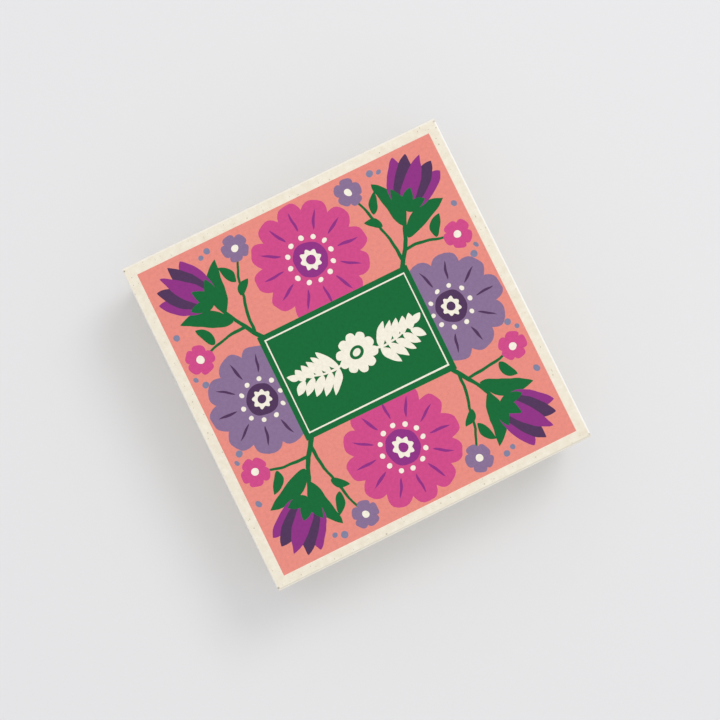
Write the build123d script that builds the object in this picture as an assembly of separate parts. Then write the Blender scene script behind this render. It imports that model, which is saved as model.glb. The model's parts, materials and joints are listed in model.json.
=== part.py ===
"""A boxed flower press: a four-bolt screw press with its corrugated card and
blotting paper, packed in a lidded box of folded card.

Millimetres, +Z up. The origin is the centre of the box's underside. X runs
along the box's width and Y along its length, and the front is at -Y.
"""

import math
import os

from build123d import *

# Press boards, of birch plywood
board_side = 150.0
board_thickness = 6.0
board_corner_radius = 8.0
board_edge_radius = 0.6
bolt_inset = 15.0
bolt_hole_clearance = 0.25

# Coach bolts, M6
shank_diameter = 6.0
bolt_length = 45.0
bolt_tip_chamfer = 0.8
bolt_head_diameter = 16.0
bolt_head_height = 3.3
bolt_head_rim = 0.8
neck_side = 6.2
neck_depth = 4.0
neck_clearance = 0.05

# Washers under the wing nuts
washer_diameter = 14.0
washer_thickness = 1.6
washer_edge_radius = 0.3
washer_clearance = 0.2

# Wing nuts
nut_clearance = 0.1
hub_foot_diameter = 12.0
hub_top_diameter = 10.0
hub_height = 7.0
hub_edge_radius = 0.5
wing_span = 27.0
wing_height = 14.0
wing_thickness = 2.6
wing_foot_height = 1.4
wing_shoulder_height = 8.2
wing_tip_width = 5.0
wing_tip_radius = 2.2
wing_edge_radius = 0.7
wing_turn_degrees = {"front_left": 24.0, "front_right": -52.0, "back_left": 68.0, "back_right": -15.0}

# Sheets between the boards: a card above and below every flower page, and two
# blotting sheets in each page
flower_pages = 4
sheet_inset = 5.0
sheet_bolt_gap = 2.5
blotter_thickness = 0.45
card_thickness = 2.6
card_liner = 0.35
flute_pitch = 6.4
flute_wall = 0.5
flute_crest = 0.9
flute_crest_radius = 0.5
flute_edge_margin = 0.5

# Folded card of the box and its lid
carton_thickness = 0.8
fold_radius = 1.1
corner_tab_length = 22.0
corner_tab_relief = 1.5
glue_line = 0.15
wall_end_relief = 0.3
corner_slit = 0.7
lid_depth = 30.0

# Room in the box
press_side_gap = 3.0
press_floor_gap = 0.1
lid_head_room = 1.2
rim_gap = 0.2
lid_side_gap = 0.5

# Sizes and places that follow from these
shank_radius = shank_diameter / 2
bolt_offset = board_side / 2 - bolt_inset
sheet_side = board_side - 2 * sheet_inset
flute_foot = flute_pitch - 2 * flute_wall - flute_crest
bolt_places = {
    "front_left": (-bolt_offset, -bolt_offset),
    "front_right": (bolt_offset, -bolt_offset),
    "back_left": (-bolt_offset, bolt_offset),
    "back_right": (bolt_offset, bolt_offset),
}
end_wall_build = 2 * carton_thickness + glue_line
tray_width = board_side + 2 * (press_side_gap + carton_thickness)
tray_length = board_side + 2 * (press_side_gap + end_wall_build)
lid_width = tray_width + 2 * (lid_side_gap + carton_thickness)
lid_length = tray_length + 2 * (lid_side_gap + end_wall_build)

# Heights, from the floor of the box upwards
bottom_board_z = carton_thickness + press_floor_gap + bolt_head_height
stack_z = bottom_board_z + board_thickness
stack_height = (flower_pages + 1) * card_thickness + 2 * flower_pages * blotter_thickness
top_board_z = stack_z + stack_height
washer_z = top_board_z + board_thickness
nut_z = washer_z + washer_thickness
bolt_tip_z = bottom_board_z + bolt_length
fasteners_top_z = max(bolt_tip_z, nut_z + wing_height)
lid_underside_z = fasteners_top_z + lid_head_room
tray_depth = lid_underside_z - rim_gap
lid_top_z = lid_underside_z + carton_thickness

STANDING = (Align.CENTER, Align.CENTER, Align.MIN)


def press_board(neck_pockets):
    """A plywood board, its underside at z = 0, with a hole for each bolt."""
    board = extrude(RectangleRounded(board_side, board_side, board_corner_radius), board_thickness)
    board = fillet(board.faces().filter_by(Axis.Z).edges(), board_edge_radius)
    hole = Cylinder(shank_radius + bolt_hole_clearance, board_thickness, align=STANDING)
    pocket_side = neck_side + 2 * neck_clearance
    pocket = Box(pocket_side, pocket_side, neck_depth + neck_clearance, align=STANDING)
    for x, y in bolt_places.values():
        board -= Pos(x, y, 0) * hole
        if neck_pockets:
            board -= Pos(x, y, 0) * pocket
    return board


def coach_bolt():
    """A mushroom-headed bolt with a square neck. The head's flat face is at z = 0."""
    head_radius = bolt_head_diameter / 2
    crown_rise = bolt_head_height - bolt_head_rim
    dome_radius = (head_radius**2 + crown_rise**2) / (2 * crown_rise)
    half_way = math.asin(head_radius / dome_radius) / 2
    dome_middle = (
        dome_radius * math.sin(half_way),
        dome_radius * (1 - math.cos(half_way)) - bolt_head_height,
    )
    outline = [
        Line((0, 0), (head_radius, 0)),
        Line((head_radius, 0), (head_radius, -bolt_head_rim)),
        ThreePointArc((head_radius, -bolt_head_rim), dome_middle, (0, -bolt_head_height)),
        Line((0, -bolt_head_height), (0, 0)),
    ]
    head = revolve(Plane.XZ * make_face(outline), Axis.Z)
    neck = Box(neck_side, neck_side, neck_depth, align=STANDING)
    shank = Cylinder(shank_radius, bolt_length, align=STANDING)
    shank = chamfer(shank.edges().sort_by(Axis.Z)[-1], bolt_tip_chamfer)
    return head + neck + shank


def washer():
    """A plain round washer, its underside at z = 0."""
    disc = Cylinder(washer_diameter / 2, washer_thickness, align=STANDING)
    disc = fillet(disc.edges().filter_by(GeomType.CIRCLE), washer_edge_radius)
    return disc - Cylinder(shank_radius + washer_clearance, washer_thickness, align=STANDING)


def wing():
    """The wing on the nut's +X side, rooted inside the hub."""
    half_span = wing_span / 2
    root_top = hub_height - hub_edge_radius
    shoulder = (half_span, wing_shoulder_height)
    tip_outer = (half_span, wing_height)
    tip_inner = (half_span - wing_tip_width, wing_height)
    profile = Polygon(
        (0, wing_foot_height),
        (hub_foot_diameter / 2, wing_foot_height),
        shoulder,
        tip_outer,
        tip_inner,
        (hub_top_diameter / 2 - hub_edge_radius, root_top),
        (0, root_top),
        align=None,
    )
    tip_corners = profile.vertices().sort_by(Axis.Y)[-3:]
    profile = fillet(tip_corners, wing_tip_radius)
    blade = extrude(Plane.XZ * profile, wing_thickness / 2, both=True)
    return fillet(blade.faces().filter_by(Axis.Y).edges(), wing_edge_radius)


def wing_nut():
    """A two-winged nut, its seat at z = 0 and its wings along X."""
    hub = Cone(hub_foot_diameter / 2, hub_top_diameter / 2, hub_height, align=STANDING)
    hub = fillet(hub.edges().filter_by(GeomType.CIRCLE), hub_edge_radius)
    nut = hub + wing() + mirror(wing(), Plane.YZ)
    return nut - Cylinder(shank_radius + nut_clearance, wing_height, align=STANDING)


def sheet_outline():
    """A square sheet with its corners clipped clear of the bolts."""
    half = sheet_side / 2
    clip_line = 2 * bolt_offset - math.sqrt(2) * (shank_radius + sheet_bolt_gap)
    near = clip_line - half
    return Polygon(
        (half, -near),
        (half, near),
        (near, half),
        (-near, half),
        (-half, near),
        (-half, -near),
        (-near, -half),
        (near, -half),
        align=None,
    )


def flute(crest_up):
    """One hollow of the corrugation in section, its wide foot on a liner."""
    crest_z = card_thickness - card_liner
    hollow = Polygon(
        (-flute_foot / 2, card_liner),
        (flute_foot / 2, card_liner),
        (flute_crest / 2, crest_z),
        (-flute_crest / 2, crest_z),
        align=None,
    )
    hollow = fillet(hollow.vertices().sort_by(Axis.Y)[-2:], flute_crest_radius)
    if not crest_up:
        hollow = Pos(0, card_thickness) * mirror(hollow, Plane.XZ)
    return hollow


def corrugated_card():
    """Single-wall corrugated card: two liners and the fluting between, open at its front and back."""
    count = int((sheet_side - flute_foot - 2 * flute_edge_margin) // flute_pitch) + 1
    first = -(count - 1) / 2 * flute_pitch
    hollows = [Pos(first + i * flute_pitch, 0) * flute(True) for i in range(count)]
    hollows += [Pos(first + (i + 0.5) * flute_pitch, 0) * flute(False) for i in range(count - 1)]
    tunnels = [extrude(Plane.XZ * hollow, sheet_side, both=True) for hollow in hollows]
    return extrude(sheet_outline(), card_thickness) - tunnels


def blotting_sheet():
    """A sheet of blotting paper, its underside at z = 0."""
    return extrude(sheet_outline(), blotter_thickness)


def fold(side_plane, wall_face, run):
    """The rounded fold between a tray's floor and a wall, drawn in section in side_plane."""
    centre = wall_face - fold_radius
    inner_radius = fold_radius - carton_thickness
    section = [
        CenterArc((centre, fold_radius), fold_radius, -90, 90),
        Line((wall_face, fold_radius), (wall_face - carton_thickness, fold_radius)),
        CenterArc((centre, fold_radius), inner_radius, 0, -90),
        Line((centre, carton_thickness), (centre, 0)),
    ]
    return extrude(side_plane * make_face(section), run / 2, both=True)


def corner_tab(half_width, half_length, depth):
    """The tab at the +X +Y corner, which turns in from the side wall and is glued behind the end wall."""
    face_y = half_length - carton_thickness - glue_line
    centre = (half_width - fold_radius, face_y - fold_radius)
    tab_end = half_width - fold_radius - corner_tab_length
    section = [
        CenterArc(centre, fold_radius, 0, 90),
        Line((centre[0], face_y), (tab_end, face_y)),
        Line((tab_end, face_y), (tab_end, face_y - carton_thickness)),
        Line((tab_end, face_y - carton_thickness), (centre[0], face_y - carton_thickness)),
        CenterArc(centre, fold_radius - carton_thickness, 90, -90),
        Line((half_width - carton_thickness, centre[1]), (half_width, centre[1])),
    ]
    tab_height = depth - 2 * corner_tab_relief
    return Pos(0, 0, corner_tab_relief) * extrude(make_face(section), tab_height)


def folded_tray(width, length, depth):
    """An open tray folded from one blank of card, its floor at z = 0, with a tab in each corner."""
    half_width, half_length = width / 2, length / 2
    wall_height = depth - fold_radius
    side_run = length - 2 * (carton_thickness + glue_line + fold_radius)
    end_run = width - 2 * wall_end_relief
    tray = Box(width - 2 * fold_radius, length - 2 * fold_radius, carton_thickness, align=STANDING)
    side_wall = Pos(half_width - carton_thickness / 2, 0, fold_radius) * Box(
        carton_thickness, side_run, wall_height, align=STANDING
    )
    end_wall = Pos(0, half_length - carton_thickness / 2, fold_radius) * Box(
        end_run, carton_thickness, wall_height, align=STANDING
    )
    side = side_wall + fold(Plane.XZ, half_width, length - 2 * (fold_radius + corner_slit))
    end = end_wall + fold(Plane.YZ, half_length, end_run)
    tab = corner_tab(half_width, half_length, depth)
    tabs = [tab, mirror(tab, Plane.XZ)]
    tray += [side, mirror(side, Plane.YZ), end, mirror(end, Plane.XZ)]
    return tray + tabs + [mirror(piece, Plane.YZ) for piece in tabs]


def sheet_stack():
    """The cards and blotting sheets by name, each at its height: card, two sheets, card and so on."""
    card, blotter = corrugated_card(), blotting_sheet()
    sheets = {}
    z = stack_z
    for page in range(flower_pages + 1):
        sheets[f"corrugated_card_{page + 1}"] = Pos(0, 0, z) * card
        z += card_thickness
        if page == flower_pages:
            break
        for leaf in (1, 2):
            sheets[f"blotting_sheet_{2 * page + leaf}"] = Pos(0, 0, z) * blotter
            z += blotter_thickness
    return sheets


def fasteners():
    """The bolt, washer and wing nut at each corner, by name."""
    bolt, ring, nut = coach_bolt(), washer(), wing_nut()
    pieces = {}
    for corner, (x, y) in bolt_places.items():
        pieces[f"coach_bolt_{corner}"] = Pos(x, y, bottom_board_z) * bolt
        pieces[f"washer_{corner}"] = Pos(x, y, washer_z) * ring
        pieces[f"wing_nut_{corner}"] = Pos(x, y, nut_z) * Rot(0, 0, wing_turn_degrees[corner]) * nut
    return pieces


def all_pieces():
    """Every piece of the boxed press by name, in its place."""
    pieces = {
        "box_base": folded_tray(tray_width, tray_length, tray_depth),
        "box_lid": Pos(0, 0, lid_top_z) * mirror(folded_tray(lid_width, lid_length, lid_depth), Plane.XY),
        "bottom_board": Pos(0, 0, bottom_board_z) * press_board(neck_pockets=True),
        "top_board": Pos(0, 0, top_board_z) * press_board(neck_pockets=False),
    }
    return pieces | sheet_stack() | fasteners()


os.makedirs("parts", exist_ok=True)
for name, piece in all_pieces().items():
    export_step(piece, f"parts/{name}.step")
print(f"lid {lid_width:.2f} x {lid_length:.2f}, box height {lid_top_z:.2f}, top board at {top_board_z:.2f}")
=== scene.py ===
"""Looks of a boxed flower press: a lidded box of flecked card with a printed top,
and inside it a plywood screw press with its corrugated card and blotting paper.

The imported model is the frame. Sizes here are millimetres, turned to metres by MM.
"""

import json
import math

import bmesh
import bpy
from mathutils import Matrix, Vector
from mathutils.geometry import delaunay_2d_cdt

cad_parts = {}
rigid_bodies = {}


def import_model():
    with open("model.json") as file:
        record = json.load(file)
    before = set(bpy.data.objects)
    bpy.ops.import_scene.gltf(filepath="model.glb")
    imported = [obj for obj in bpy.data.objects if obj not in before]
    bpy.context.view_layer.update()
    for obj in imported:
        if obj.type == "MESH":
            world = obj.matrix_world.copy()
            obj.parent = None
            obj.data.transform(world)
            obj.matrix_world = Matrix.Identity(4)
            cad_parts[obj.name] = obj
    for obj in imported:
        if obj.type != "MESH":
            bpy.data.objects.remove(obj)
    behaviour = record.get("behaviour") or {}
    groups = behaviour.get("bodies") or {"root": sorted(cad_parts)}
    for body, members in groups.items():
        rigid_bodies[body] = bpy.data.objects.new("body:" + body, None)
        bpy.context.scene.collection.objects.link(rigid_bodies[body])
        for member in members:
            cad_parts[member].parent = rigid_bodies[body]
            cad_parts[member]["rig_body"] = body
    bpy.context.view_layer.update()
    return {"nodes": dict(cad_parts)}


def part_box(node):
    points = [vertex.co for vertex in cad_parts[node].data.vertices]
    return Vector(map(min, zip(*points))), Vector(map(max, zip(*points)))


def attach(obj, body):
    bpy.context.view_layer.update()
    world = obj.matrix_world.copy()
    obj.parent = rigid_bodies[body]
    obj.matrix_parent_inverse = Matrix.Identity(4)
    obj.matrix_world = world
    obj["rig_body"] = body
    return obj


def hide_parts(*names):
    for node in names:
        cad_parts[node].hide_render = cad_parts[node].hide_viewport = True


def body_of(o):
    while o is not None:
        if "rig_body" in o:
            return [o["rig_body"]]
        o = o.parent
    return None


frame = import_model()

MM = 0.001
CORNERS = ("front_left", "front_right", "back_left", "back_right")
CARD_COUNT = 5

# Camera, nearly straight above the lid and turned a little
camera_lens = 85.0
camera_place = (-34.85, -29.52, 830.31)
camera_turn = (2.833, -1.445, -26.189)

# Lamps
softbox_side = 900.0
softbox_place = (1200.0, 640.0, 1850.0)
softbox_power = 10.8
sky_at_horizon = 0.70
sky_overhead = 0.93
floor_side = 8000.0

# Printed panel on the lid. Points of its outlines that lie closer than print_weld become one.
print_border = 5.4
print_thickness = 0.03
print_weld = 0.001
plaque_width = 77.0
plaque_length = 53.0
keyline_inset = 2.6
keyline_width = 0.7
ink_colours = {
    "coral": "#E88D81",
    "leaf green": "#176A38",
    "mauve": "#897195",
    "pink": "#CF4C89",
    "violet": "#903485",
    "plum": "#52375B",
    "slate": "#8183A0",
    "cream": "#F3EDDD",
}

# Coach bolts, M6 x 1. A flank of the thread starts and ends at shares of a turn from its root.
thread_pitch = 1.0
thread_major = 6.0
thread_minor = 4.8
flank_foot = 0.08
flank_top = 0.44
shank_sides = 36
rings_per_pitch = 8
head_rim = 0.8
head_height = 3.3
head_chamfer = 0.2
head_sides = 48
dome_steps = 12
neck_side = 6.2
neck_depth = 4.0
neck_chamfer = 0.4

# Flecks in the card of the box: how rare big ones are, the dark share of each, how much of the
# card it covers there, and its fray. Hairs are flecks turned, in radians, and drawn out.
fleck_rarity = 3.0
fleck_core = 0.4
fleck_cover = 0.75
fleck_fray = 0.5
hair_turn = (0.3, 0.2, 0.6)
hair_squeeze = (1, 0.2, 0.6)

# Folds of that card, found by the largest part of the normal, which falls below 1 as the card
# turns. All are a little white where the card is stretched. Those that face right are whiter
# still, as a painted highlight from the lamp on that side. Those whose normal leans to the front,
# by about the lean given below, carry a band of painted shade where they turn away from the lamp.
fold_begins = 0.995
fold_in_full = 0.95
fold_whiteness = 0.35
# Painted highlight: folds that face right, towards the lamp, are whitened further
right_fold_painted_highlight = 1.2
# Painted shade: the lean and spread of the darker band on folds that lean to the front
front_fold_shade_lean = -0.3
front_fold_shade_spread = 0.25
cut_edge_depth = 0.05

# Boards and sheets. A board's faces are taken to lie ply_margin of a ply inside the outer plies,
# so that rounding can't put them past these. Coordinates squeezed along the grain draw it out.
# The crests of the fluting bite into the liners.
ply_count = 5
ply_glue_line = 0.12
ply_margin = 0.01
grain_squeeze = 0.02
sheet_bolt_gap = 2.5
flute_count = 22
columns_per_flute = 12
liner_thickness = 0.35
fluting_thickness = 0.3
crest_bite = 0.03

# Edges that turn by more than this many degrees stay sharp on shaped pieces
sharp_turn = 38


def linear(hex_colour):
    """An sRGB hex colour as linear RGBA."""
    channels = [int(hex_colour[i : i + 2], 16) / 255 for i in (1, 3, 5)]
    return [c / 12.92 if c <= 0.04045 else ((c + 0.055) / 1.055) ** 2.4 for c in channels] + [1.0]


def per_mm(size):
    """The texture scale at which a pattern's features are about this many millimetres."""
    return 1 / (size * MM)


def node(tree, kind, inputs=None, **settings):
    """Adds a node. Its inputs go by socket identifier. Each is a value, an output, or a node,
    which stands for its first output. A list under Geometry joins all that it holds."""
    new = tree.nodes.new(kind)
    for name, value in settings.items():
        setattr(new, name, value)
    sockets = {socket.identifier: socket for socket in new.inputs}
    for name, value in (inputs or {}).items():
        joined = name == "Geometry" and isinstance(value, list)
        for source in value if joined else [value]:
            if isinstance(source, bpy.types.Node):
                source = next(socket for socket in source.outputs if socket.enabled)
            if isinstance(source, bpy.types.NodeSocket):
                tree.links.new(source, sockets[name])
            else:
                sockets[name].default_value = source
    return new


def finish(name, surface, **details):
    """A material whose Principled shader takes the sockets that surface(tree, **details) gives."""
    made = bpy.data.materials.new(name)
    made.use_nodes = True
    tree = made.node_tree
    tree.nodes.clear()
    shader = node(tree, "ShaderNodeBsdfPrincipled", surface(tree, **details))
    node(tree, "ShaderNodeOutputMaterial", {"Surface": shader})
    return made


def dress(names, made):
    """Gives CAD nodes one material."""
    for name in names:
        slots = frame["nodes"][name].data.materials
        slots.clear()
        slots.append(made)


def new_object(name, data):
    """An object at the origin for a mesh, a lamp or a camera."""
    made = bpy.data.objects.new(name, data)
    bpy.context.scene.collection.objects.link(made)
    return made


# Recycled card is uncoated and off-white. The pulp is cloudy, holds faint bran-coloured
# flecks and short hairs, and turns whiter along a fold, where its surface is stretched. On folds
# that face right, towards the lamp, the whiter colour is also a painted highlight. The front
# folds carry a band of painted shade where they turn away from the lamp, and a cut edge shows
# the greyer core. The tooth of such card is finer than half a millimetre, and is drawn coarser
# so that it shows.
def flecks(tree, place, cell, widest, below):
    """Lays flecks of up to widest mm over a colour, one in each cell of the pulp at most."""
    scatter = node(tree, "ShaderNodeTexVoronoi", {"Vector": place, "Scale": per_mm(cell)})
    chance = node(tree, "ShaderNodeSeparateColor", {"Color": scatter.outputs["Color"]})
    rare = node(
        tree,
        "ShaderNodeMath",
        {"Value": chance.outputs["Red"], "Value_001": fleck_rarity},
        operation="POWER",
    )
    radius = node(
        tree,
        "ShaderNodeMath",
        {"Value": rare, "Value_001": widest / 2 / cell},
        operation="MULTIPLY",
    )
    core = node(
        tree, "ShaderNodeMath", {"Value": radius, "Value_001": fleck_core}, operation="MULTIPLY"
    )
    mask = node(
        tree,
        "ShaderNodeMapRange",
        {
            "Value": scatter.outputs["Distance"],
            "From Min": radius,
            "From Max": core,
            "To Max": fleck_cover,
        },
    )
    shade = chance.outputs["Green"]
    tint = node(
        tree,
        "ShaderNodeMix",
        {"Factor_Float": shade, "A_Color": linear("#C9C0A2"), "B_Color": linear("#94896C")},
        data_type="RGBA",
    )
    return node(
        tree,
        "ShaderNodeMix",
        {"Factor_Float": mask, "A_Color": below, "B_Color": tint},
        data_type="RGBA",
    )


def recycled_card(tree, rim):
    """The card of a tray whose cut edge lies at a height of rim."""
    coordinates = node(tree, "ShaderNodeTexCoord")
    place = coordinates.outputs["Object"]
    cloud = node(
        tree,
        "ShaderNodeTexNoise",
        {"Vector": place, "Scale": per_mm(2.6), "Detail": 4.0, "Roughness": 0.6},
    )
    pulp = node(
        tree,
        "ShaderNodeMix",
        {"Factor_Float": cloud, "A_Color": linear("#FBF5E7"), "B_Color": linear("#E0D4BD")},
        data_type="RGBA",
    )
    ragged = node(tree, "ShaderNodeTexNoise", {"Vector": place, "Scale": per_mm(0.7)})
    shifted = node(
        tree,
        "ShaderNodeVectorMath",
        {
            "Vector": ragged.outputs["Color"],
            "Vector_001": [fleck_fray * MM] * 3,
            "Vector_002": place,
        },
        operation="MULTIPLY_ADD",
    )
    stretched = node(
        tree,
        "ShaderNodeMapping",
        {"Vector": shifted, "Rotation": hair_turn, "Scale": hair_squeeze},
    )
    hairs = flecks(tree, stretched, cell=1.1, widest=0.42, below=pulp)
    specks = flecks(tree, shifted, cell=1.2, widest=0.6, below=hairs)
    bran = flecks(tree, shifted, cell=2.2, widest=1.0, below=specks)
    facing = node(
        tree,
        "ShaderNodeVectorMath",
        {"Vector": coordinates.outputs["Normal"]},
        operation="ABSOLUTE",
    )
    faces = node(tree, "ShaderNodeSeparateXYZ", {"Vector": facing})
    wall = node(
        tree,
        "ShaderNodeMath",
        {"Value": faces.outputs["X"], "Value_001": faces.outputs["Y"]},
        operation="MAXIMUM",
    )
    flat = node(
        tree,
        "ShaderNodeMath",
        {"Value": wall, "Value_001": faces.outputs["Z"]},
        operation="MAXIMUM",
    )
    crease = node(
        tree,
        "ShaderNodeMapRange",
        {"Value": flat, "From Min": fold_begins, "From Max": fold_in_full},
    )
    towards = node(tree, "ShaderNodeSeparateXYZ", {"Vector": coordinates.outputs["Normal"]}).outputs
    # Painted highlight: folds that face right, towards the lamp, are whitened more than the rest
    painted_highlight_to_right = node(
        tree,
        "ShaderNodeMath",
        {"Value": towards["X"], "Value_001": right_fold_painted_highlight},
        operation="MULTIPLY",
        use_clamp=True,
    )
    stretch_white_and_painted_highlight = node(
        tree,
        "ShaderNodeMath",
        {"Value": painted_highlight_to_right, "Value_001": fold_whiteness},
        operation="MAXIMUM",
    )
    fold = node(
        tree, "ShaderNodeMath", {"Value": crease, "Value_001": stretch_white_and_painted_highlight}, operation="MULTIPLY"
    )
    stretched_and_highlit_fold = node(
        tree,
        "ShaderNodeMix",
        {"Factor_Float": fold, "A_Color": bran, "B_Color": linear("#FDFDFB")},
        data_type="RGBA",
    )
    # Painted shade: folds whose normal leans to the front, away from the lamp, are tinted a darker
    # grey
    painted_front_fold_shade = node(
        tree,
        "ShaderNodeMath",
        {"Value": towards["Y"], "Value_001": front_fold_shade_lean, "Value_002": front_fold_shade_spread},
        operation="COMPARE",
    )
    stretched_and_painted_folds = node(
        tree,
        "ShaderNodeMix",
        {"Factor_Float": painted_front_fold_shade, "A_Color": stretched_and_highlit_fold, "B_Color": linear("#E0DACA")},
        data_type="RGBA",
    )
    height = node(tree, "ShaderNodeSeparateXYZ", {"Vector": place}).outputs["Z"]
    at_rim = node(
        tree,
        "ShaderNodeMath",
        {"Value": height, "Value_001": rim, "Value_002": cut_edge_depth * MM},
        operation="COMPARE",
    )
    core = node(
        tree,
        "ShaderNodeMix",
        {"Factor_Float": ragged, "A_Color": linear("#E0D6C0"), "B_Color": linear("#B9AC90")},
        data_type="RGBA",
    )
    colour = node(
        tree,
        "ShaderNodeMix",
        {"Factor_Float": at_rim, "A_Color": stretched_and_painted_folds, "B_Color": core},
        data_type="RGBA",
    )
    tooth = node(tree, "ShaderNodeTexNoise", {"Vector": place, "Scale": per_mm(0.5), "Detail": 3.0})
    bump = node(tree, "ShaderNodeBump", {"Height": tooth, "Strength": 0.35, "Distance": 0.05 * MM})
    return {"Base Color": colour, "Roughness": 0.9, "IOR": 1.45, "Normal": bump}


# Printing ink sinks into uncoated card, so it is matt and keeps the card's tooth, with a
# faint mottle where the pulp takes up more or less of it.
def sunk_ink(tree, hex_colour):
    place = node(tree, "ShaderNodeTexCoord").outputs["Object"]
    mottle = node(
        tree,
        "ShaderNodeTexNoise",
        {"Vector": place, "Scale": per_mm(1.6), "Detail": 5.0, "Roughness": 0.7},
    )
    uptake = node(
        tree,
        "ShaderNodeMapRange",
        {"Value": mottle, "From Min": 0.3, "From Max": 0.7, "To Min": 0.92, "To Max": 1.08},
    )
    colour = node(
        tree,
        "ShaderNodeVectorMath",
        {"Vector": linear(hex_colour)[:3], "Scale": uptake},
        operation="SCALE",
    )
    tooth = node(tree, "ShaderNodeTexNoise", {"Vector": place, "Scale": per_mm(0.5), "Detail": 3.0})
    bump = node(tree, "ShaderNodeBump", {"Height": tooth, "Strength": 0.25, "Distance": 0.04 * MM})
    return {
        "Base Color": colour,
        "Roughness": 0.85,
        "IOR": 1.45,
        "Specular IOR Level": 0.15,
        "Normal": bump,
    }


# Birch plywood, sanded and left bare: pale straw with long faint figure and fine pores along
# the grain. The edges show plies that turn by a quarter, end grain darker, with thin glue lines.
# Real pores are about a tenth of a millimetre wide, so they are drawn coarser to show.
def birch_plywood(tree, foot, thickness):
    coordinates = node(tree, "ShaderNodeTexCoord")
    place = coordinates.outputs["Object"]
    height = node(tree, "ShaderNodeSeparateXYZ", {"Vector": place}).outputs["Z"]
    within = node(
        tree,
        "ShaderNodeMapRange",
        {
            "Value": height,
            "From Min": foot,
            "From Max": foot + thickness,
            "To Min": ply_margin,
            "To Max": ply_count - ply_margin,
        },
    )
    ply = node(tree, "ShaderNodeMath", {"Value": within}, operation="FLOOR")
    crossed = node(tree, "ShaderNodeMath", {"Value": ply, "Value_001": 2.0}, operation="MODULO")
    along = node(tree, "ShaderNodeMapping", {"Vector": place, "Scale": (grain_squeeze, 1, 1)})
    across = node(tree, "ShaderNodeMapping", {"Vector": place, "Scale": (1, grain_squeeze, 1)})
    grain = node(
        tree,
        "ShaderNodeMix",
        {"Factor_Float": crossed, "A_Vector": along, "B_Vector": across},
        data_type="VECTOR",
    )
    figure = node(
        tree,
        "ShaderNodeTexNoise",
        {"Vector": grain, "Scale": per_mm(9), "Detail": 2.0, "Distortion": 0.6},
    )
    fibres = node(
        tree, "ShaderNodeTexNoise", {"Vector": grain, "Scale": per_mm(0.7), "Detail": 4.0}
    )
    ground = node(
        tree,
        "ShaderNodeMix",
        {"Factor_Float": figure, "A_Color": linear("#EFDFC0"), "B_Color": linear("#D8BF94")},
        data_type="RGBA",
    )
    pore = node(
        tree,
        "ShaderNodeMapRange",
        {"Value": fibres, "From Min": 0.52, "From Max": 0.72, "To Max": 0.5},
    )
    fibred = node(
        tree,
        "ShaderNodeMix",
        {"Factor_Float": pore, "A_Color": ground, "B_Color": linear("#B89460")},
        data_type="RGBA",
    )
    facing = node(
        tree,
        "ShaderNodeVectorMath",
        {"Vector": coordinates.outputs["Normal"]},
        operation="ABSOLUTE",
    )
    faces = node(tree, "ShaderNodeSeparateXYZ", {"Vector": facing})
    cut_across = node(
        tree,
        "ShaderNodeMix",
        {"Factor_Float": crossed, "A_Float": faces.outputs["X"], "B_Float": faces.outputs["Y"]},
        data_type="FLOAT",
    )
    end_grain = node(
        tree, "ShaderNodeMapRange", {"Value": cut_across, "From Min": 0.4, "To Max": 0.55}
    )
    ends = node(
        tree,
        "ShaderNodeMix",
        {"Factor_Float": end_grain, "A_Color": fibred, "B_Color": linear("#A67F50")},
        data_type="RGBA",
    )
    near_joint = node(
        tree, "ShaderNodeMath", {"Value": within, "Value_001": 0.5}, operation="PINGPONG"
    )
    above_middle = node(
        tree, "ShaderNodeMath", {"Value": within, "Value_001": ply_count / 2}, operation="SUBTRACT"
    )
    from_middle = node(tree, "ShaderNodeMath", {"Value": above_middle}, operation="ABSOLUTE")
    inner = node(
        tree,
        "ShaderNodeMath",
        {"Value": from_middle, "Value_001": ply_count / 2 - 0.5},
        operation="LESS_THAN",
    )
    line = node(
        tree,
        "ShaderNodeMath",
        {"Value": near_joint, "Value_001": ply_glue_line / 2 / (thickness / MM / ply_count)},
        operation="LESS_THAN",
    )
    glue = node(tree, "ShaderNodeMath", {"Value": inner, "Value_001": line}, operation="MULTIPLY")
    colour = node(
        tree,
        "ShaderNodeMix",
        {"Factor_Float": glue, "A_Color": ends, "B_Color": linear("#6E4D2C")},
        data_type="RGBA",
    )
    bump = node(tree, "ShaderNodeBump", {"Height": fibres, "Strength": 0.3, "Distance": 0.05 * MM})
    return {"Base Color": colour, "Roughness": 0.62, "IOR": 1.5, "Normal": bump}


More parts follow.
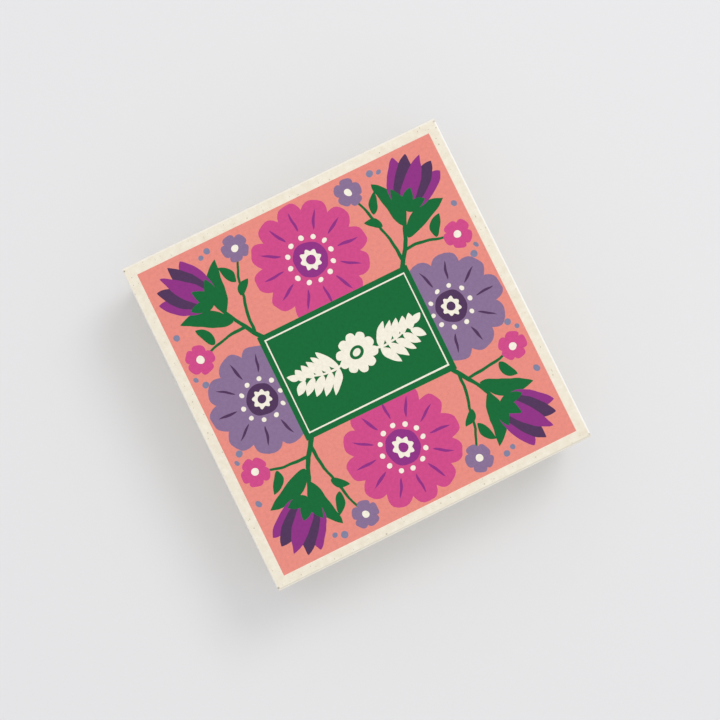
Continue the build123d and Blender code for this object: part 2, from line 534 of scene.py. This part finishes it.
# Kraft paper: brown, dull, full of long fibres, with the flutes showing through as faint ribs:
# bumps, and stripes of painted shade and light over them.
# Single fibres are too fine to show, so they are drawn as coarser bundles.
def kraft_paper(tree, flute_pitch):
    place = node(tree, "ShaderNodeTexCoord").outputs["Object"]
    combed = node(tree, "ShaderNodeMapping", {"Vector": place, "Scale": (0.25, 1, 1)})
    fibres = node(
        tree,
        "ShaderNodeTexNoise",
        {"Vector": combed, "Scale": per_mm(0.8), "Detail": 5.0, "Roughness": 0.65},
    )
    brown = node(
        tree,
        "ShaderNodeMix",
        {"Factor_Float": fibres, "A_Color": linear("#C49C6C"), "B_Color": linear("#9A7246")},
        data_type="RGBA",
    )
    sideways = node(tree, "ShaderNodeSeparateXYZ", {"Vector": place}).outputs["X"]
    turn = node(
        tree,
        "ShaderNodeMath",
        {"Value": sideways, "Value_001": math.tau / flute_pitch},
        operation="MULTIPLY",
    )
    wave = node(tree, "ShaderNodeMath", {"Value": turn}, operation="COSINE")
    # Painted shade and light: the brown darkens and lightens in stripes over the flutes, as light
    # falls on the liner's ribs
    shade = node(
        tree,
        "ShaderNodeMapRange",
        {"Value": wave, "From Min": -1.0, "To Min": 0.93, "To Max": 1.03},
    )
    brown_with_painted_rib_shade = node(
        tree, "ShaderNodeVectorMath", {"Vector": brown, "Scale": shade}, operation="SCALE"
    )
    ribs = node(tree, "ShaderNodeBump", {"Height": wave, "Strength": 0.5, "Distance": 0.06 * MM})
    bump = node(
        tree,
        "ShaderNodeBump",
        {"Height": fibres, "Strength": 0.3, "Distance": 0.05 * MM, "Normal": ribs},
    )
    return {"Base Color": brown_with_painted_rib_shade, "Roughness": 0.88, "IOR": 1.45, "Normal": bump}


# Blotting paper: thick, soft and unsized, so it is dead matt and slightly fluffy. Its fluff is
# drawn as tufts of about a millimetre, because single fibres are too fine to show.
def blotting_paper(tree):
    place = node(tree, "ShaderNodeTexCoord").outputs["Object"]
    fluff = node(
        tree,
        "ShaderNodeTexNoise",
        {"Vector": place, "Scale": per_mm(0.9), "Detail": 6.0, "Roughness": 0.7},
    )
    colour = node(
        tree,
        "ShaderNodeMix",
        {"Factor_Float": fluff, "A_Color": linear("#F6F2E8"), "B_Color": linear("#E3DCCB")},
        data_type="RGBA",
    )
    bump = node(tree, "ShaderNodeBump", {"Height": fluff, "Strength": 0.5, "Distance": 0.1 * MM})
    return {
        "Base Color": colour,
        "Roughness": 0.97,
        "IOR": 1.4,
        "Sheen Weight": 0.15,
        "Normal": bump,
    }


# Bright zinc plate over steel: a cool grey shine, a little cloudy. Cast pieces keep the
# grain of the mould under the plate.
def zinc_plate(tree, grain, depth):
    place = node(tree, "ShaderNodeTexCoord").outputs["Object"]
    cloud = node(tree, "ShaderNodeTexNoise", {"Vector": place, "Scale": per_mm(3), "Detail": 4.0})
    colour = node(
        tree,
        "ShaderNodeMix",
        {"Factor_Float": cloud, "A_Color": linear("#DDDFE2"), "B_Color": linear("#BCC0C5")},
        data_type="RGBA",
    )
    gloss = node(
        tree,
        "ShaderNodeMapRange",
        {"Value": cloud, "From Min": 0.3, "From Max": 0.7, "To Min": 0.26, "To Max": 0.42},
    )
    pits = node(
        tree, "ShaderNodeTexNoise", {"Vector": place, "Scale": per_mm(grain), "Detail": 3.0}
    )
    bump = node(tree, "ShaderNodeBump", {"Height": pits, "Strength": 0.4, "Distance": depth * MM})
    return {"Base Color": colour, "Metallic": 1.0, "Roughness": gloss, "Normal": bump}


# Outlines of the printed design, in millimetres from the panel's middle
def turned(outline, angle, place):
    """An outline turned anticlockwise by an angle in degrees, then moved to a place."""
    cos, sin = math.cos(math.radians(angle)), math.sin(math.radians(angle))
    return [(place[0] + x * cos - y * sin, place[1] + x * sin + y * cos) for x, y in outline]


def blade(length, width, foot, tip, bend=0.0, steps=18):
    """A petal or leaf along +Y from the origin. Low foot and tip values make its ends blunt."""
    fullest = (foot / (foot + tip)) ** foot * (tip / (foot + tip)) ** tip
    right, left = [], []
    for i in range(steps + 1):
        s = (1 - math.cos(math.pi * i / steps)) / 2
        half = width / 2 * s**foot * (1 - s) ** tip / fullest
        middle = bend * math.sin(math.pi * s)
        right.append((middle + half, length * s))
        left.append((middle - half, length * s))
    return right + left[-2:0:-1]


def petal(length, width):
    return blade(length, width, foot=0.75, tip=0.34)


def leaf(length, width, bend=0.0):
    return blade(length, width, foot=0.7, tip=0.9, bend=bend)


def disc(radius, lobes=0, depth=0.0, steps=24):
    """A round spot, or one with a scalloped rim."""
    angles = [2 * math.pi * i / steps for i in range(steps)]
    radii = [radius * (1 + depth * math.cos(lobes * angle)) for angle in angles]
    return [(r * math.cos(angle), r * math.sin(angle)) for r, angle in zip(radii, angles)]


def stem(start, bow, end, width, taper=0.35, steps=14):
    """A stem that swings from start to end past bow, as a tapering stroke."""
    axes = list(zip(start, bow, end))
    left, right = [], []
    for i in range(steps + 1):
        t = i / steps
        x, y = ((1 - t) ** 2 * a + 2 * t * (1 - t) * b + t * t * c for a, b, c in axes)
        dx, dy = ((1 - t) * (b - a) + t * (c - b) for a, b, c in axes)
        half = width / 2 * (1 - taper * t) / math.hypot(dx, dy)
        left.append((x - dy * half, y + dx * half))
        right.append((x + dy * half, y - dx * half))
    return left + right[::-1]


def on_ring(middle, radius, angle):
    """A place on a ring, its angle in degrees from +Y as for an outline."""
    angle = math.radians(angle + 90)
    return (middle[0] + radius * math.cos(angle), middle[1] + radius * math.sin(angle))


def daisy(place, radius, petals, petal_width, petal_ink, button_ink, start):
    """A round-petalled daisy with a vein in each petal, a ring of dots and a starry button."""
    angles = [start + 360 / petals * i for i in range(petals)]
    vein = leaf(length=radius * 0.36, width=radius * 0.05)
    vein_ring = radius * 0.5
    button = disc(radius * 0.30, steps=40)
    dot = disc(radius * 0.045, steps=12)
    dot_ring = radius * 0.385
    star = disc(radius * 0.17, lobes=8, depth=0.14, steps=48)
    eye = disc(radius * 0.085)
    shapes = [(petal_ink, turned(petal(radius, petal_width), angle, place)) for angle in angles]
    for angle in angles:
        shapes.append((button_ink, turned(vein, angle, on_ring(place, vein_ring, angle))))
    shapes.append((button_ink, turned(button, 0, place)))
    for angle in angles:
        shapes.append(("cream", turned(dot, 0, on_ring(place, dot_ring, angle))))
    shapes.append(("cream", turned(star, start, place)))
    shapes.append((button_ink, turned(eye, 0, place)))
    return shapes


def tulip(place, angle, height):
    """A tulip of five blades with a green cup under it."""
    shapes = []
    for ink, lean, length, width in (
        ("violet", 27, 0.92, 0.40),
        ("violet", -27, 0.92, 0.40),
        ("plum", 14, 0.98, 0.36),
        ("plum", -14, 0.98, 0.36),
        ("violet", 0, 1.0, 0.30),
    ):
        outline = blade(height * length, height * width, foot=0.62, tip=0.8)
        shapes.append((ink, turned(outline, angle + lean, place)))
    cup_leaf = leaf(length=height * 0.42, width=height * 0.2)
    for lean in (46, -46, 0):
        shapes.append(("leaf green", turned(cup_leaf, angle + lean, place)))
    return shapes


def blossom(place, radius, petal_ink, start):
    """A small flat blossom of five round petals."""
    petals = 5
    outline = petal(length=radius, width=radius * 0.92)
    shapes = [(petal_ink, turned(outline, start + 360 / petals * i, place)) for i in range(petals)]
    shapes.append(("cream", turned(disc(radius * 0.27), 0, place)))
    return shapes


def corner_spray(sx, sy):
    """The tulip, stems, leaves, blossoms and berries of the corner with these signs of x and y."""

    def at(x, y):
        return (sx * x, sy * y)

    def aim(x, y):
        return math.degrees(math.atan2(sy * y, sx * x)) - 90

    hand = sx * sy
    shapes = [
        ("leaf green", stem(at(33, 22), at(43, 34), at(49, 51), width=2.4)),
        ("leaf green", stem(at(41, 33), at(54, 33), at(63, 29), width=1.6)),
        ("leaf green", stem(at(38, 29), at(36, 50), at(30, 64), width=1.6)),
    ]
    for place, direction, length, width, bend in (
        ((44.5, 37.5), (1.0, 0.42), 25, 8.4, -2.2),
        ((46.0, 43.0), (-0.24, 1.0), 25, 8.0, 2.0),
        ((56.5, 32.2), (0.62, 1.0), 11, 4.6, -1.0),
        ((36.6, 47.0), (-0.9, 0.7), 9, 4.2, 0.8),
        ((35.2, 53.5), (0.5, 1.0), 11, 4.4, -0.8),
    ):
        outline = leaf(length, width, bend * hand)
        shapes.append(("leaf green", turned(outline, aim(*direction), at(*place))))
    shapes += tulip(at(48.6, 49.5), aim(0.68, 0.78), height=27)
    shapes += blossom(at(66.0, 28.6), radius=6.8, petal_ink="pink", start=20 * hand)
    shapes += blossom(at(29.0, 68.0), radius=6.6, petal_ink="mauve", start=-14 * hand)
    for berry, radius in (
        ((71.0, 42.5), 1.5),
        ((68.5, 17.5), 1.6),
        ((71.5, 21.0), 1.2),
        ((41.5, 72.0), 1.6),
        ((45.5, 70.5), 1.2),
    ):
        shapes.append(("slate", turned(disc(radius), 0, at(*berry))))
    return shapes


def plaque():
    """The green plaque, its keyline, and a leafy garland on each side of a small daisy."""

    def box(inset):
        x, y = plaque_width / 2 - inset, plaque_length / 2 - inset
        return [(-x, -y), (x, -y), (x, y), (-x, y)]

    shapes = [
        ("leaf green", box(0)),
        ("cream", box(keyline_inset)),
        ("leaf green", box(keyline_inset + keyline_width)),
    ]
    leaf_pairs, first_pair, pair_step = 5, 10.4, 4.2
    for side in (1, -1):
        stalk = stem((side * 6, -1.0), (side * 18, -4.5), (side * 29, 1.5), width=1.2)
        shapes.append(("cream", stalk))
        for i in range(leaf_pairs):
            on_stalk = -2.4 - 0.35 * i + 0.16 * i * i
            foot = (side * (first_pair + pair_step * i), on_stalk)
            outline = leaf(length=12.5 - 1.3 * i, width=4.0)
            for lean in (58, -58):
                shapes.append(("cream", turned(outline, side * (lean - 90 + 4 * i), foot)))
        end_leaf = leaf(length=6.5, width=3.2)
        shapes.append(("cream", turned(end_leaf, side * -62, (side * 28.4, 1.0))))
    petals = 10
    outline = petal(length=9.6, width=4.7)
    shapes += [("cream", turned(outline, 360 / petals * i, (0, 0))) for i in range(petals)]
    shapes.append(("leaf green", disc(radius=3.2)))
    shapes.append(("cream", disc(radius=1.8)))
    return shapes


def hand_cut(x, y):
    """A point moved a little, so that edges look cut by hand and no two flowers are quite alike."""
    long_sway, short_sway = 0.28, 0.12
    return (
        x
        + long_sway * math.sin(0.21 * x + 0.33 * y)
        + short_sway * math.sin(0.9 * y + 0.4 * x),
        y
        + long_sway * math.sin(0.27 * x - 0.19 * y + 1.3)
        + short_sway * math.sin(0.8 * x - 0.5 * y),
    )


def printed_design(width, length):
    """Every inked shape in the order it is laid down, the coral panel first."""
    x, y = width / 2, length / 2
    shapes = []
    for sx in (1, -1):
        for sy in (1, -1):
            shapes += corner_spray(sx, sy)
    pink_daisy = {
        "radius": 27.5,
        "petals": 12,
        "petal_width": 12.5,
        "petal_ink": "pink",
        "button_ink": "violet",
        "start": 0,
    }
    mauve_daisy = {
        "radius": 25,
        "petals": 10,
        "petal_width": 13.6,
        "petal_ink": "mauve",
        "button_ink": "plum",
        "start": 18,
    }
    for sign in (1, -1):
        shapes += daisy((0, sign * 48), **pink_daisy)
        shapes += daisy((sign * 48.5, 0), **mauve_daisy)
    shapes += plaque()
    shapes = [(ink, [hand_cut(*point) for point in outline]) for ink, outline in shapes]
    return [("coral", [(-x, -y), (x, -y), (x, y), (-x, y)])] + shapes


def anticlockwise(outline):
    """An outline's points in anticlockwise order."""
    area = sum(a[0] * b[1] - b[0] * a[1] for a, b in zip(outline, outline[1:] + outline[:1]))
    return outline if area > 0 else outline[::-1]


def printed_sheet():
    """The print as one closed film on the lid, its top cut along the edges between inks."""
    low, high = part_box("box_lid")
    width, length = ((high[axis] - low[axis]) / MM - 2 * print_border for axis in (0, 1))
    shapes = printed_design(width, length)
    points, rings = [], []
    for _, outline in shapes:
        rings.append(list(range(len(points), len(points) + len(outline))))
        points += [Vector(point) for point in anticlockwise(outline)]
    inside_only = 1
    places, _, cells, _, _, owners = delaunay_2d_cdt(points, [], rings, inside_only, print_weld)
    inks = list(ink_colours)
    film = bmesh.new()
    top = high[2] + print_thickness * MM
    corners = [film.verts.new((place.x * MM, place.y * MM, top)) for place in places]
    for cell, shapes_above in zip(cells, owners):
        if 0 in shapes_above:
            face = film.faces.new([corners[i] for i in cell])
            face.material_index = inks.index(shapes[max(shapes_above)][0])
    bmesh.ops.delete(film, geom=[v for v in film.verts if not v.link_faces], context="VERTS")
    rim = [edge for edge in film.edges if edge.is_boundary]
    rim_corners = [v for v in film.verts if v.is_boundary]
    below = {v: film.verts.new((v.co.x, v.co.y, high[2])) for v in rim_corners}
    for edge in rim:
        a, b = edge.verts
        film.faces.new((a, b, below[b], below[a]))
    lower_rim = [edge for edge in film.edges if edge.is_boundary]
    bmesh.ops.contextual_create(film, geom=lower_rim)
    bmesh.ops.recalc_face_normals(film, faces=film.faces)
    mesh = bpy.data.meshes.new("lid_print")
    film.to_mesh(mesh)
    film.free()
    for ink, colour in ink_colours.items():
        mesh.materials.append(finish(f"matt {ink} ink on card", sunk_ink, hex_colour=colour))
    return new_object("lid_print", mesh)


# Pieces whose shape follows a rule are made by shapers, which are Geometry Nodes trees
def new_shaper(name, inputs):
    """An empty tree with named inputs of these kinds, and the sockets that give them."""
    tree = bpy.data.node_groups.new(name, "GeometryNodeTree")
    for label, kind in ({"Geometry": "Geometry"} | inputs | {"Finish": "Material"}).items():
        tree.interface.new_socket(label, in_out="INPUT", socket_type=f"NodeSocket{kind}")
    tree.interface.new_socket("Geometry", in_out="OUTPUT", socket_type="NodeSocketGeometry")
    return tree, node(tree, "NodeGroupInput").outputs


def end_shaper(tree, given, geometry):
    """Ends a tree with real geometry in the given finish."""
    real = node(tree, "GeometryNodeRealizeInstances", {"Geometry": geometry})
    dressed = node(tree, "GeometryNodeSetMaterial", {"Geometry": real, "Material": given["Finish"]})
    outlet = next(item for item in tree.interface.items_tree if item.in_out == "OUTPUT")
    node(tree, "NodeGroupOutput", {outlet.identifier: dressed})


def shaped(name, tree, sizes, blank):
    """A blank mesh put through a shaper with these inputs, as an object with a plain mesh."""
    rough = new_object("blank", blank)
    modifier = rough.modifiers.new("shaper", "NODES")
    modifier.node_group = tree
    for item in tree.interface.items_tree:
        if item.in_out == "INPUT" and item.name in sizes:
            modifier[item.identifier] = sizes[item.name]
    view = bpy.context.evaluated_depsgraph_get()
    mesh = bpy.data.meshes.new_from_object(rough.evaluated_get(view))
    bpy.data.objects.remove(rough)
    mesh.name = name
    mesh.shade_smooth()
    mesh.set_sharp_from_angle(angle=math.radians(sharp_turn))
    return new_object(name, mesh)


# Corrugated card: a fluted paper between two flat ones, its flutes running along Y
def card_layer(tree, blank, fields, height, thickness, swing):
    """One paper of the card as a closed slab, which swings up and down with the flutes."""
    slope = node(
        tree, "ShaderNodeMath", {"Value": fields["lean"], "Value_001": swing}, operation="MULTIPLY"
    )
    squared = node(
        tree,
        "ShaderNodeMath",
        {"Value": slope, "Value_001": slope, "Value_002": 1.0},
        operation="MULTIPLY_ADD",
    )
    stretch = node(tree, "ShaderNodeMath", {"Value": squared}, operation="SQRT")
    thick = node(
        tree, "ShaderNodeMath", {"Value": thickness, "Value_001": 0.5}, operation="MULTIPLY"
    )
    proud = node(
        tree, "ShaderNodeMath", {"Value": thick, "Value_001": fields["face"]}, operation="MULTIPLY"
    )
    offset = node(
        tree, "ShaderNodeMath", {"Value": proud, "Value_001": stretch}, operation="DIVIDE"
    )
    x = node(
        tree,
        "ShaderNodeMath",
        {"Value": slope, "Value_001": offset, "Value_002": fields["x"]},
        operation="MULTIPLY_ADD",
    )
    middle = node(
        tree,
        "ShaderNodeMath",
        {"Value": fields["wave"], "Value_001": swing, "Value_002": height},
        operation="MULTIPLY_ADD",
    )
    z = node(tree, "ShaderNodeMath", {"Value": middle, "Value_001": offset}, operation="ADD")
    place = node(tree, "ShaderNodeCombineXYZ", {"X": x, "Y": fields["y"], "Z": z})
    return node(tree, "GeometryNodeSetPosition", {"Geometry": blank, "Position": place})


def fluted_card():
    """A shaper of corrugated card, its foot at z = 0, clipped where |x| + |y| reaches Clip."""
    tree, given = new_shaper(
        "fluted card",
        {
            "Width": "Float",
            "Clip": "Float",
            "Thickness": "Float",
            "Liner": "Float",
            "Fluting": "Float",
            "Bite": "Float",
            "Flutes": "Int",
            "Columns": "Int",
            "Place": "Vector",
        },
    )
    width = given["Width"]
    size = node(tree, "ShaderNodeCombineXYZ", {"X": width, "Y": width, "Z": given["Thickness"]})
    blank = node(
        tree,
        "GeometryNodeMeshCube",
        {"Size": size, "Vertices X": given["Columns"], "Vertices Y": 2, "Vertices Z": 2},
    )
    place = node(tree, "ShaderNodeSeparateXYZ", {"Vector": node(tree, "GeometryNodeInputPosition")})
    x, y, z = (place.outputs[axis] for axis in "XYZ")
    round_turns = node(
        tree,
        "ShaderNodeMath",
        {"Value": given["Flutes"], "Value_001": math.tau},
        operation="MULTIPLY",
    )
    rate = node(
        tree, "ShaderNodeMath", {"Value": round_turns, "Value_001": width}, operation="DIVIDE"
    )
    turn = node(tree, "ShaderNodeMath", {"Value": x, "Value_001": rate}, operation="MULTIPLY")
    sine = node(tree, "ShaderNodeMath", {"Value": turn}, operation="SINE")
    from_middle = node(tree, "ShaderNodeMath", {"Value": x}, operation="ABSOLUTE")
    to_clip = node(
        tree,
        "ShaderNodeMath",
        {"Value": given["Clip"], "Value_001": from_middle},
        operation="SUBTRACT",
    )
    to_edge = node(tree, "ShaderNodeMath", {"Value": width, "Value_001": 0.5}, operation="MULTIPLY")
    reach = node(
        tree, "ShaderNodeMath", {"Value": to_edge, "Value_001": to_clip}, operation="MINIMUM"
    )
    side = node(tree, "ShaderNodeMath", {"Value": y}, operation="SIGN")
    fields = {
        "x": x,
        "y": node(
            tree, "ShaderNodeMath", {"Value": side, "Value_001": reach}, operation="MULTIPLY"
        ),
        "face": node(tree, "ShaderNodeMath", {"Value": z}, operation="SIGN"),
        "wave": node(tree, "ShaderNodeMath", {"Value": turn}, operation="COSINE"),
        "lean": node(
            tree, "ShaderNodeMath", {"Value": sine, "Value_001": rate}, operation="MULTIPLY"
        ),
    }
    total, liner = given["Thickness"], given["Liner"]
    middle = node(tree, "ShaderNodeMath", {"Value": total, "Value_001": 0.5}, operation="MULTIPLY")
    low = node(tree, "ShaderNodeMath", {"Value": liner, "Value_001": 0.5}, operation="MULTIPLY")
    high = node(tree, "ShaderNodeMath", {"Value": total, "Value_001": low}, operation="SUBTRACT")
    inside = node(
        tree, "ShaderNodeMath", {"Value": middle, "Value_001": liner}, operation="SUBTRACT"
    )
    bitten = node(
        tree, "ShaderNodeMath", {"Value": inside, "Value_001": given["Bite"]}, operation="ADD"
    )
    swing = node(
        tree,
        "ShaderNodeMath",
        {"Value": given["Fluting"], "Value_001": -0.5, "Value_002": bitten},
        operation="MULTIPLY_ADD",
    )
    papers = [
        card_layer(tree, blank, fields, low, liner, 0.0),
        card_layer(tree, blank, fields, middle, given["Fluting"], swing),
        card_layer(tree, blank, fields, high, liner, 0.0),
    ]
    card = node(tree, "GeometryNodeJoinGeometry", {"Geometry": papers})
    placed = node(tree, "GeometryNodeTransform", {"Geometry": card, "Translation": given["Place"]})
    end_shaper(tree, given, placed)
    return tree


def corrugated_card(name, number, tree, finish_of_card):
    """The card that takes the place of a CAD card of this name, with its flutes as real waves."""
    low, high = (Vector(c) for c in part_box(name))
    bolt_low, bolt_high = (Vector(c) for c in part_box("coach_bolt_back_right"))
    bolt = (bolt_low + bolt_high) / 2
    bolt_room = (thread_major / 2 + sheet_bolt_gap) * MM
    sizes = {
        "Width": high.x - low.x,
        "Clip": bolt.x + bolt.y - math.sqrt(2) * bolt_room,
        "Thickness": high.z - low.z,
        "Liner": liner_thickness * MM,
        "Fluting": fluting_thickness * MM,
        "Bite": crest_bite * MM,
        "Flutes": flute_count,
        "Columns": flute_count * columns_per_flute + 1,
        "Place": (0, 0, low.z),
        "Finish": finish_of_card,
    }
    return shaped(f"fluted_card_{number}", tree, sizes, bpy.data.meshes.new("blank"))


# Coach bolts with a rolled thread
def lathed(profile, sides, start=0.0):
    """Points and faces of a solid turned round Z. Its profile runs from axis to axis, and each
    of the profile's points is (radius, z)."""
    turn = 2 * math.pi / sides
    angles = [math.radians(start) + turn * i for i in range(sides)]
    points = [(0, 0, profile[0][1])]
    for radius, z in profile[1:-1]:
        points += [(radius * math.cos(a), radius * math.sin(a), z) for a in angles]
    points.append((0, 0, profile[-1][1]))
    last = len(points) - 1
    faces = []
    for i in range(sides):
        j = (i + 1) % sides
        faces.append((0, 1 + j, 1 + i))
        for ring in range(1, last - sides, sides):
            faces.append((ring + i, ring + j, ring + sides + j, ring + sides + i))
        faces.append((last - sides + i, last - sides + j, last))
    return points, faces


def head_and_neck(head_radius):
    """A mushroom head with its flat face at z = 0, and the square neck above it."""
    rise = head_height - head_rim
    dome = (head_radius**2 + rise**2) / (2 * rise)
    sweep = math.asin(head_radius / dome)
    angles = [sweep * i / dome_steps for i in range(dome_steps + 1)]
    crown = [
        (dome * math.sin(angle), dome * (1 - math.cos(angle)) - head_height) for angle in angles
    ]
    points, faces = lathed(crown + [(head_radius - head_chamfer, 0), (0, 0)], head_sides)
    corner = neck_side / math.sqrt(2)
    square = [
        (0, -head_rim),
        (corner, -head_rim),
        (corner, neck_depth - neck_chamfer),
        (corner - neck_chamfer, neck_depth),
        (0, neck_depth),
    ]
    neck_points, neck_faces = lathed(square, sides=4, start=45)
    faces += [[i + len(points) for i in face] for face in neck_faces]
    mesh = bpy.data.meshes.new("head and neck")
    mesh.from_pydata([Vector(point) * MM for point in points + neck_points], [], faces)
    return mesh


def rolled_thread():
    """A shaper that adds a threaded shank to a head and neck, and puts the bolt in its place."""
    tree, given = new_shaper(
        "rolled thread",
        {
            "Length": "Float",
            "Pitch": "Float",
            "Major Radius": "Float",
            "Minor Radius": "Float",
            "Rings": "Int",
            "Foot": "Vector",
            "Place": "Vector",
        },
    )
    blank = node(
        tree,
        "GeometryNodeMeshCylinder",
        {
            "Vertices": shank_sides,
            "Side Segments": given["Rings"],
            "Radius": given["Major Radius"],
            "Depth": given["Length"],
        },
    )
    place = node(tree, "ShaderNodeSeparateXYZ", {"Vector": node(tree, "GeometryNodeInputPosition")})
    x, y, z = (place.outputs[axis] for axis in "XYZ")
    angle = node(tree, "ShaderNodeMath", {"Value": y, "Value_001": x}, operation="ARCTAN2")
    bearing = node(
        tree, "ShaderNodeMath", {"Value": angle, "Value_001": math.tau}, operation="DIVIDE"
    )
    climb = node(
        tree, "ShaderNodeMath", {"Value": z, "Value_001": given["Pitch"]}, operation="DIVIDE"
    )
    turns = node(
        tree, "ShaderNodeMath", {"Value": climb, "Value_001": bearing}, operation="SUBTRACT"
    )
    flank = node(tree, "ShaderNodeMath", {"Value": turns, "Value_001": 0.5}, operation="PINGPONG")
    ridge = node(
        tree, "ShaderNodeMapRange", {"Value": flank, "From Min": flank_foot, "From Max": flank_top}
    )
    half = node(
        tree, "ShaderNodeMath", {"Value": given["Length"], "Value_001": 0.5}, operation="MULTIPLY"
    )
    to_tip = node(tree, "ShaderNodeMath", {"Value": half, "Value_001": z}, operation="SUBTRACT")
    lead_in = node(tree, "ShaderNodeMapRange", {"Value": to_tip, "From Max": given["Pitch"]})
    shape = node(
        tree, "ShaderNodeMath", {"Value": ridge, "Value_001": lead_in}, operation="MULTIPLY"
    )
    root = node(
        tree,
        "ShaderNodeMath",
        {"Value": given["Minor Radius"], "Value_001": given["Major Radius"]},
        operation="DIVIDE",
    )
    share = node(tree, "ShaderNodeMapRange", {"Value": shape, "To Min": root})
    wide = node(tree, "ShaderNodeMath", {"Value": x, "Value_001": share}, operation="MULTIPLY")
    deep = node(tree, "ShaderNodeMath", {"Value": y, "Value_001": share}, operation="MULTIPLY")
    cut = node(tree, "ShaderNodeCombineXYZ", {"X": wide, "Y": deep, "Z": z})
    thread = node(tree, "GeometryNodeSetPosition", {"Geometry": blank, "Position": cut})
    shank = node(tree, "GeometryNodeTransform", {"Geometry": thread, "Translation": given["Foot"]})
    bolt = node(tree, "GeometryNodeJoinGeometry", {"Geometry": [given["Geometry"], shank]})
    placed = node(tree, "GeometryNodeTransform", {"Geometry": bolt, "Translation": given["Place"]})
    end_shaper(tree, given, placed)
    return tree


def threaded_bolt(corner, tree, finish_of_bolt):
    """The bolt at one corner as a plain mesh, in place of its plain CAD solid."""
    low, high = (Vector(c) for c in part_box(f"coach_bolt_{corner}"))
    middle = (low + high) / 2
    seat = low.z + head_height * MM
    shank_foot = neck_depth * MM / 2
    shank_length = high.z - seat - shank_foot
    sizes = {
        "Length": shank_length,
        "Pitch": thread_pitch * MM,
        "Major Radius": thread_major / 2 * MM,
        "Minor Radius": thread_minor / 2 * MM,
        "Rings": round(shank_length / MM / thread_pitch * rings_per_pitch),
        "Foot": (0, 0, shank_foot + shank_length / 2),
        "Place": (middle.x, middle.y, seat),
        "Finish": finish_of_bolt,
    }
    blank = head_and_neck((high.x - low.x) / 2 / MM)
    return shaped(f"threaded_bolt_{corner}", tree, sizes, blank)


lid_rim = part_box("box_lid")[0][2]
base_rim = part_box("box_base")[1][2]
blotter = finish("blotting paper", blotting_paper)
plate = finish("bright zinc plate", zinc_plate, grain=0.8, depth=0.01)
cast_plate = finish("zinc plate on cast iron", zinc_plate, grain=0.6, depth=0.08)
dress(["box_lid"], finish("recycled card of the lid", recycled_card, rim=lid_rim))
dress(["box_base"], finish("recycled card of the base", recycled_card, rim=base_rim))
dress([name for name in frame["nodes"] if name.startswith("blotting_sheet")], blotter)
dress([f"washer_{corner}" for corner in CORNERS], plate)
dress([f"wing_nut_{corner}" for corner in CORNERS], cast_plate)
for board in ("bottom_board", "top_board"):
    low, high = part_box(board)
    thickness = high[2] - low[2]
    plywood = finish(
        f"birch plywood of the {board}", birch_plywood, foot=low[2], thickness=thickness
    )
    dress([board], plywood)

low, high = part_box("corrugated_card_1")
kraft = finish("kraft paper", kraft_paper, flute_pitch=(high[0] - low[0]) / flute_count)
flutes = fluted_card()
for number in range(1, CARD_COUNT + 1):
    replaced = f"corrugated_card_{number}"
    fluted = corrugated_card(replaced, number, flutes, kraft)
    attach(fluted, body_of(frame["nodes"][replaced])[0])
    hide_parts(replaced)

lid_print = printed_sheet()
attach(lid_print, "box_lid")

thread = rolled_thread()
for corner in CORNERS:
    bolt = threaded_bolt(corner, thread, plate)
    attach(bolt, "press_base")
    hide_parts(f"coach_bolt_{corner}")


# Floor, lamps, sky and camera. A matt white table has no pattern, only light and soft shadow.
def matt_table(tree):
    return {"Base Color": linear("#E6E6E8"), "Roughness": 0.9, "IOR": 1.45}


def pale_floor():
    half = floor_side / 2 * MM
    corners = [(-half, -half, 0), (half, -half, 0), (half, half, 0), (-half, half, 0)]
    mesh = bpy.data.meshes.new("floor")
    mesh.from_pydata(corners, [], [(0, 1, 2, 3)])
    mesh.materials.append(finish("matt white table", matt_table))
    new_object("floor", mesh)


def light_the_scene():
    lamp = bpy.data.lights.new("softbox", "AREA")
    lamp.size = softbox_side * MM
    lamp.energy = softbox_power
    softbox = new_object("softbox", lamp)
    softbox.location = Vector(softbox_place) * MM
    softbox.rotation_euler = softbox.location.to_track_quat("Z", "Y").to_euler()
    sky = bpy.data.worlds.new("studio")
    sky.use_nodes = True
    tree = sky.node_tree
    tree.nodes.clear()
    direction = node(tree, "ShaderNodeTexCoord").outputs["Generated"]
    height = node(tree, "ShaderNodeSeparateXYZ", {"Vector": direction}).outputs["Z"]
    level = node(
        tree,
        "ShaderNodeMapRange",
        {"Value": height, "To Min": sky_at_horizon, "To Max": sky_overhead},
    )
    light = node(tree, "ShaderNodeBackground", {"Color": (1, 1, 1, 1), "Strength": level})
    node(tree, "ShaderNodeOutputWorld", {"Surface": light})
    bpy.context.scene.world = sky


def place_camera():
    lens = bpy.data.cameras.new("camera")
    lens.lens = camera_lens
    camera = new_object("camera", lens)
    camera.location = Vector(camera_place) * MM
    camera.rotation_euler = [math.radians(angle) for angle in camera_turn]
    bpy.context.scene.camera = camera


pale_floor()
light_the_scene()
place_camera()
bpy.context.scene.view_settings.view_transform = "Standard"
